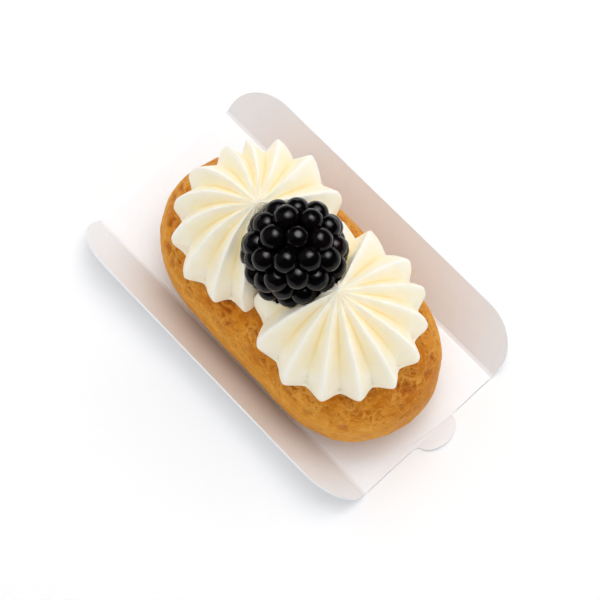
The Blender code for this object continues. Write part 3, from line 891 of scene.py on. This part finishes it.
# The cream rosettes.
def rosette_grid(name, form):
    """A closed net of points that know their ridge, level and angle; the cream tree places them."""
    angles = [math.radians(angle) for angle, _ in form["ridges"]]
    columns = []
    for index, (_, reach) in enumerate(form["ridges"]):
        after = angles[(index + 1) % len(angles)]
        if after < angles[index]:
            after += 2.0 * math.pi
        next_reach = form["ridges"][(index + 1) % len(angles)][1]
        for step in range(RIDGE_COLUMNS):
            share = step / RIDGE_COLUMNS
            share -= COLUMN_CROWDING * math.sin(4.0 * math.pi * share) / (4.0 * math.pi)
            columns.append((
                angles[index] + (after - angles[index]) * share,
                1.0 - abs(1.0 - 2.0 * share),
                reach + (next_reach - reach) * share,
                index + share,
            ))
    levels = [share - 2.0 for share in reversed(FOOT_SHARES)]
    levels += [step / ROLL_LEVELS - 1.0 for step in range(ROLL_LEVELS)]
    levels += [step / DOME_LEVELS for step in range(DOME_LEVELS)]
    rows = [(*column, level) for level in levels for column in columns]
    rows += [(0.0, 0.0, 1.0, 0.0, -2.0), (0.0, 0.0, 1.0, 0.0, 1.0)]
    count = len(columns)
    faces = []
    for ring in range(len(levels) - 1):
        for column in range(count):
            after = (column + 1) % count
            low, high = ring * count, (ring + 1) * count
            faces.append((low + column, low + after, high + after, high + column))
    bottom, top, last = len(rows) - 2, len(rows) - 1, (len(levels) - 1) * count
    for column in range(count):
        after = (column + 1) % count
        faces.append((column, bottom, after))
        faces.append((last + column, last + after, top))
    made = bpy.data.meshes.new(name)
    made.from_pydata([(0.0, 0.0, 0.0)] * len(rows), [], faces)
    values = np.array(rows)
    for place, label in enumerate(("angle", "from_crest", "reach", "ridge", "level")):
        set_attribute(made, label, values[:, place])
    tears = np.zeros(len(rows))
    for tear_angle, tear_level in form["tears"]:
        round_by = np.degrees(values[:, 0]) - tear_angle
        up_by = values[:, 4] - tear_level
        tears += np.exp(-((round_by / TEAR_HALF_ANGLE) ** 2) - (up_by / TEAR_HALF_LEVEL) ** 2)
    set_attribute(made, "tear", tears)
    return made


def cream_tree():
    """Places a rosette's net: a fluted dome on the crust, cut at the seam and pressed in by the berry."""
    numbers = (
        "Rim", "Rise", "Squareness", "Swirl", "Rim Height", "Rim Droop", "Rim Roll", "Rim Roll Drop",
        "Ridge Depth", "Ridge Fade", "Tip Rounding", "Peak Height", "Peak Width", "Gap", "Bead Height",
        "Seed",
    )
    places = ("Centre", "Peak Shift", "Seam Point", "Seam Normal")
    inputs = {"Net": ("Geometry", None)}
    inputs.update({label: ("Float", 0.0) for label in numbers})
    inputs.update({label: ("Vector", None) for label in places})
    inputs.update({"Bun": ("Object", None), "Berry": ("Object", None), "Finish": ("Material", None)})
    tree, given, made = new_group("piped_cream", "GeometryNodeTree", inputs, {"Cream": "Geometry"})
    angle, from_crest, reach, ridge, level = (
        stored(tree, label) for label in ("angle", "from_crest", "reach", "ridge", "level"))

    # The smooth dome above the rim, and the roll under it.
    rise_turn = level.most(0.0) * (math.pi / 2)
    roll_turn = level.least(0.0).most(-1.0) * (math.pi / 2)
    dome_out = formula("COSINE", rise_turn) ** (2.0 / given["Squareness"])
    dome_up = formula("SINE", rise_turn) ** (2.0 / given["Squareness"])
    roll_out = formula("COSINE", roll_turn)
    out = dome_out - (1.0 - roll_out) * given["Rim Roll"] / given["Rim"]
    lift = dome_up * given["Rise"] + formula("SINE", roll_turn) * given["Rim Roll Drop"]
    bow = given["Squareness"] - 1.0
    tilt = formula("ARCTAN2", dome_up**bow / given["Rise"], dome_out**bow / given["Rim"]) + roll_turn

    # Ridges: pointed tips on the rim, sharp crests with round valleys above it.
    crest = ((from_crest * from_crest + given["Tip Rounding"] * given["Tip Rounding"]) ** 0.5
             - given["Tip Rounding"]) / (1.0 - given["Tip Rounding"] * 0.9)
    rim_form = crest**RIDGE_POINT
    dome_form = 1.0 - (1.0 - crest).most(0.0) ** VALLEY_POINT
    cut = mixed(level.smooth(0.0, ROUND_VALLEY_LEVEL), rim_form, dome_form)
    depth = given["Ridge Depth"] * out.most(0.0) ** given["Ridge Fade"] * cut
    roll_depth = roll_out * (1.0 - ROLL_LEAST_DEPTH) + ROLL_LEAST_DEPTH
    depth = depth * mixed(level.smooth(-0.02, 0.0), roll_depth, 1.0)
    line_place = vector(tree, level * BEADS_UP, ridge * BEADS_ROUND, given["Seed"])
    beads = (cloud(line_place, given["Seed"], detail=1.0) - 0.5) * from_crest.bump(CREST_WIDTH)
    depth = depth - beads * given["Bead Height"] * 4.0 * level.smooth(0.04, 0.2)
    depth = depth + stored(tree, "tear") * TEAR_DEPTH
    rim = given["Rim"] * mixed(out, 1.0, reach)
    radius = rim * out - depth * formula("COSINE", tilt)
    radius = radius.most(0.0) * (level + 2.0).most(0.0).least(1.0)
    lift = lift - depth * formula("SINE", tilt) + given["Peak Height"] * radius.bump(given["Peak Width"])

    # Swirl, drift of the peak, and droop of the rim over the bun's sides.
    inward = 1.0 - radius / given["Rim"]
    turned = angle + given["Swirl"] * inward
    shift = inward.smooth(0.0, 1.0)
    droop = formula("SINE", turned) * formula("SINE", turned) * given["Rim Droop"] * (1.0 - shift)
    flat = vector(tree, formula("COSINE", turned), formula("SINE", turned), 0.0) * radius
    base = given["Rim Height"] - droop
    free = given["Centre"] + given["Peak Shift"] * shift + flat + vector(tree, 0.0, 0.0, base + lift)
    geometry = placed(given["Net"], free)

    # Soft unevenness of the piped surface.
    place = here(tree)
    swell = (cloud(place / SWELL_SIZE, given["Seed"]) - 0.5) * SWELL_HEIGHT
    ripple = (cloud(place / RIPPLE_SIZE, given["Seed"]) - 0.5) * RIPPLE_HEIGHT
    geometry = placed(geometry, place + outward(tree) * (swell + ripple) * level.smooth(-0.5, 0.0))

    # The seam: what lies past its plane moves back towards the rosette's own middle.
    place = here(tree)
    past = (dot(place - given["Seam Point"], given["Seam Normal"]) + given["Gap"]).most(0.0)
    away = (place - given["Centre"]) * vector(tree, 1.0, 1.0, 0.0)
    away = away / vector_size(away).most(0.0001)
    geometry = placed(geometry, place - away * past / dot(away, given["Seam Normal"]).most(0.05))

    # The foot rests on the crust.
    place = here(tree)
    over = place * vector(tree, 1.0, 1.0, 0.0) + vector(tree, 0.0, 0.0, 0.1)
    hit, crust = cast(object_shape(given["Bun"]), over, (0.0, 0.0, -1.0))
    crust_height = crust.parts()[2] + given["Gap"]
    x, y, height = place.parts()
    foot = mixed(level.smooth(-1.01, -1.0), crust_height, height.most(crust_height))
    geometry = placed(geometry, vector(tree, x, y, mixed(hit, height, foot)))

    # The berry's bed: what lies above its underside is pressed down to it.
    place = here(tree)
    x, y, height = place.parts()
    hit, underside = cast(object_shape(given["Berry"]), vector(tree, x, y, 0.0), (0.0, 0.0, 1.0))
    pressed = height.least(underside.parts()[2] - given["Gap"])
    geometry = placed(geometry, vector(tree, x, y, mixed(hit, height, pressed)))

    # Masks for painted light: painted shade in the valleys and deeper in the furrows, and a painted
    # highlight on the crests.
    valley = cut * out.smooth(0.05, 0.45) * (1.0 - out.smooth(0.80, 1.0) * 0.7)
    geometry = store(geometry, "valley", valley * level.smooth(0.0, 0.15))
    furrow = (1.0 - from_crest).bump(CREST_WIDTH) * out.smooth(0.08, 0.30)
    furrow = furrow * (1.0 - out.smooth(0.55, 0.95)) * level.smooth(0.0, 0.15)
    geometry = store(geometry, "furrow", furrow)
    # Painted highlight along the crests.
    geometry = store(geometry, "crest", from_crest.bump(CREST_WIDTH) * level.smooth(-0.05, 0.10))
    finished(geometry, given["Finish"], made)
    return tree


def make_rosette(name, form, side, bun, berry, tree, look):
    """side is 1 where the seam is towards +X from this rosette."""
    return grown(name, rosette_grid(name, form), tree, {
        "Centre": (*form["centre"], 0.0),
        "Peak Shift": (*form["peak_shift"], 0.0),
        "Rim": form["rim"],
        "Swirl": form["swirl"],
        "Bead Height": form["beads"],
        "Seed": form["seed"],
        "Rise": ROSETTE_RISE,
        "Squareness": ROSETTE_SQUARENESS,
        "Rim Height": RIM_HEIGHT,
        "Rim Droop": RIM_DROOP,
        "Rim Roll": RIM_ROLL,
        "Rim Roll Drop": RIM_ROLL_DROP,
        "Ridge Depth": RIDGE_DEPTH,
        "Ridge Fade": RIDGE_FADE,
        "Tip Rounding": TIP_ROUNDING,
        "Peak Height": PEAK_HEIGHT,
        "Peak Width": PEAK_WIDTH,
        "Gap": CREAM_GAP,
        "Seam Point": SEAM_POINT,
        "Seam Normal": Vector((math.cos(SEAM_LEAN), 0.0, math.sin(SEAM_LEAN))) * side,
        "Bun": bun,
        "Berry": berry,
        "Finish": look,
    })


# The bramble berry.
def drupelet_points():
    """A point for each drupelet about the berry's middle, with its outward direction and its size."""
    draw = random.Random(BERRY_SEED)
    points = []
    sizes = []
    for (down, count, zigzag), turn in zip(DRUPELET_RINGS, DRUPELET_TURNS):
        for index in range(count):
            stray = draw.uniform(-DRUPELET_STRAY_TURN, DRUPELET_STRAY_TURN)
            angle = math.radians(turn) + 2.0 * math.pi * (index + stray) / count
            slip = down + (zigzag if index % 2 else -zigzag)
            if down > 0:
                slip += draw.uniform(-DRUPELET_STRAY_DOWN, DRUPELET_STRAY_DOWN)
            slip = math.radians(slip)
            out = BERRY_RING_RADIUS * math.sin(slip) ** (2.0 / BERRY_SQUARENESS)
            up = BERRY_RING_HEIGHT * abs(math.cos(slip)) ** (2.0 / BERRY_SQUARENESS)
            height = math.copysign(up, math.cos(slip))
            points.append((out * math.cos(angle), out * math.sin(angle), height))
            sizes.append(draw.uniform(1.0 - DRUPELET_SIZE_SPREAD, 1.0 + DRUPELET_SIZE_SPREAD))
    made = bpy.data.meshes.new("drupelet_points")
    made.from_pydata(points, [], [])
    set_attribute(made, "size", sizes)
    return made


def fine_ball(tree):
    made = add_node(tree, "GeometryNodeMeshIcoSphere", {"Radius": 1.0, "Subdivisions": 4})
    return Term(made.outputs["Mesh"])


def berry_tree():
    """Sets a plump drupelet on each point and a core inside them, then leans and places the berry."""
    tree, given, made = new_group("drupelets_on_core", "GeometryNodeTree", {
        "Points": ("Geometry", None),
        "Drupelet Radius": ("Float", 0.002),
        "Drupelet Length": ("Float", 0.0025),
        "Dimple": ("Float", 0.1),
        "Core": ("Vector", None),
        "Middle": ("Vector", None),
        "Lean": ("Rotation", None),
        "Unevenness": ("Float", 0.0001),
        "Finish": ("Material", None),
    }, {"Berry": "Geometry"})
    x, y, z = here(tree).parts()
    from_axis = (x * x + y * y) ** 0.5
    dimpled = z - given["Dimple"] * from_axis.bump(DRUPELET_DIMPLE_WIDTH) * z.smooth(0.2, 0.8)
    ball = placed(fine_ball(tree), vector(tree, x, y, dimpled))
    size = stored(tree, "size")
    facing = add_node(tree, "FunctionNodeAlignRotationToVector", {"Vector": here(tree)}, axis="Z")
    across = given["Drupelet Radius"] * size
    copies = add_node(tree, "GeometryNodeInstanceOnPoints", {
        "Points": given["Points"], "Instance": ball, "Rotation": Term(facing.outputs[0]),
        "Scale": vector(tree, across, across, given["Drupelet Length"] * size),
    })
    chance = add_node(tree, "FunctionNodeRandomValue", {"Seed": DRUPELET_TINT_SEED}, data_type="FLOAT")
    drawn = Term(next(socket for socket in chance.outputs if socket.enabled))
    drupelets = store(Term(copies.outputs[0]), "each", drawn, domain="INSTANCE")
    core = placed(fine_ball(tree), here(tree) * given["Core"])
    joined = tree.nodes.new("GeometryNodeJoinGeometry")
    for part in (core, drupelets):
        tree.links.new(part.socket, joined.inputs[0])
    real = add_node(tree, "GeometryNodeRealizeInstances", {"Geometry": Term(joined.outputs[0])})
    place = here(tree)
    uneven = (cloud(place / BERRY_UNEVENNESS_SIZE) - 0.5) * given["Unevenness"]
    whole = placed(Term(real.outputs[0]), place + outward(tree) * uneven)
    moved = add_node(tree, "GeometryNodeTransform", {"Geometry": whole, "Translation": given["Middle"],
                                                     "Rotation": given["Lean"]})
    finished(Term(moved.outputs[0]), given["Finish"], made)
    return tree


def make_berry(look):
    hinge = Vector((-math.sin(BERRY_LEAN_TURN), math.cos(BERRY_LEAN_TURN), 0.0))
    core = BERRY_RING_RADIUS - BERRY_CORE_SHRINK
    return grown("ripe_berry", drupelet_points(), berry_tree(), {
        "Drupelet Radius": DRUPELET_RADIUS,
        "Drupelet Length": DRUPELET_LENGTH,
        "Dimple": DRUPELET_DIMPLE,
        "Core": (core, core, BERRY_RING_HEIGHT - BERRY_CORE_SHRINK),
        "Middle": BERRY_CENTRE,
        "Lean": Matrix.Rotation(BERRY_LEAN, 3, hinge).to_euler(),
        "Unevenness": BERRY_UNEVENNESS,
        "Finish": look,
    })


# The studio.
def make_studio(middle):
    white, shader = new_finish("white_table", Roughness=0.6)
    place = object_place(white.node_tree)
    feed(shader.inputs["Base Color"], mottled(place, seen(252, 252, 253), seen(251, 251, 252), 0.05, 0.5))
    shape = bmesh.new()
    bmesh.ops.create_grid(shape, x_segments=1, y_segments=1, size=TABLE_HALF_WIDTH)
    made = bpy.data.meshes.new("table_top")
    shape.to_mesh(made)
    shape.free()
    table = bpy.data.objects.new("table_top", made)
    table.data.materials.append(white)
    bpy.context.scene.collection.objects.link(table)

    world = bpy.data.worlds.new("studio")
    world.use_nodes = True
    bpy.context.scene.world = world
    path = world.node_tree.nodes.new("ShaderNodeLightPath")
    direction = Term(world.node_tree.nodes.new("ShaderNodeTexCoord").outputs["Generated"])
    x, _, z = direction.parts()
    from_front = x.most(0.0)
    low_light = from_front * from_front * FRONT_LIGHT + HORIZON_LIGHT
    sky = (1.0 - z.most(0.0)) ** HORIZON_FADE * low_light + SKY_LIGHT
    glow = dot(direction, tuple(KEY_DIRECTION.normalized())).most(0.0) ** SOFTBOX_FOCUS
    sky = mixed(Term(path.outputs["Is Glossy Ray"]), sky, glow * SOFTBOX_GLOW + SKY_IN_GLOSS)
    sky = mixed(Term(path.outputs["Is Camera Ray"]), sky, 1.0)
    backdrop = world.node_tree.nodes["Background"]
    backdrop.inputs["Color"].default_value = (1.0, 1.0, 1.0, 1.0)
    feed(backdrop.inputs["Strength"], sky)

    for name, towards, size, power in (
        ("softbox", KEY_DIRECTION, KEY_SIZE, KEY_POWER),
        ("fill", FILL_DIRECTION, FILL_SIZE, FILL_POWER),
    ):
        panel = bpy.data.lights.new(name, "AREA")
        panel.size = size
        panel.energy = power
        light = bpy.data.objects.new(name, panel)
        towards = towards.normalized()
        light.location = middle + towards * KEY_DISTANCE
        light.rotation_euler = towards.to_track_quat("Z", "Y").to_euler()
        bpy.context.scene.collection.objects.link(light)

    lens = bpy.data.cameras.new("camera")
    lens.lens = CAMERA_LENS
    lens.sensor_width = CAMERA_SENSOR
    camera = bpy.data.objects.new("camera", lens)
    back = Vector((
        math.sin(CAMERA_AZIMUTH) * math.cos(CAMERA_ELEVATION),
        -math.cos(CAMERA_AZIMUTH) * math.cos(CAMERA_ELEVATION),
        math.sin(CAMERA_ELEVATION),
    ))
    camera.location = middle + CAMERA_AIM + back * CAMERA_DISTANCE
    camera.rotation_euler = back.to_track_quat("Z", "Y").to_euler()
    bpy.context.scene.collection.objects.link(camera)
    bpy.context.scene.camera = camera
    bpy.context.scene.view_settings.view_transform = "Standard"


def tray_middle():
    """Where model.glb has the middle of the tray's base, from its back edge and its left flap's edge."""
    low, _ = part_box("card_tray")
    place, _, normal = fold_section(-(TRAY_WIDTH / 2 + FLAP_SLANT), 0.0)
    return Vector((low[0] + TRAY_LENGTH / 2, low[1] - (place - normal[0] * CARD / 2), 0.0))


def main():
    bpy.context.scene.cursor.location = (0.0, 0.0, 0.0)
    middle = tray_middle()
    cream = cream_finish()
    tray = make_tray(card_finish())
    bun = make_bun(crust_finish())
    berry = make_berry(berry_finish())
    piping = cream_tree()
    back = make_rosette("piped_rosette_back", BACK_ROSETTE, 1.0, bun, berry, piping, cream)
    front = make_rosette("piped_rosette_front", FRONT_ROSETTE, -1.0, bun, berry, piping, cream)
    for piece, node, slot in (
        (tray, "card_tray", "white_card"),
        (bun, "choux_bun", "choux_crust"),
        (back, "cream_rosette_back", "vanilla_cream"),
        (front, "cream_rosette_front", "vanilla_cream"),
        (berry, "bramble_berry", "berry_skin"),
    ):
        piece.data.transform(Matrix.Translation(middle))
        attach(piece, "root")
        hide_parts(node)
    make_studio(middle)


main()
bpy.context.view_layer.update()
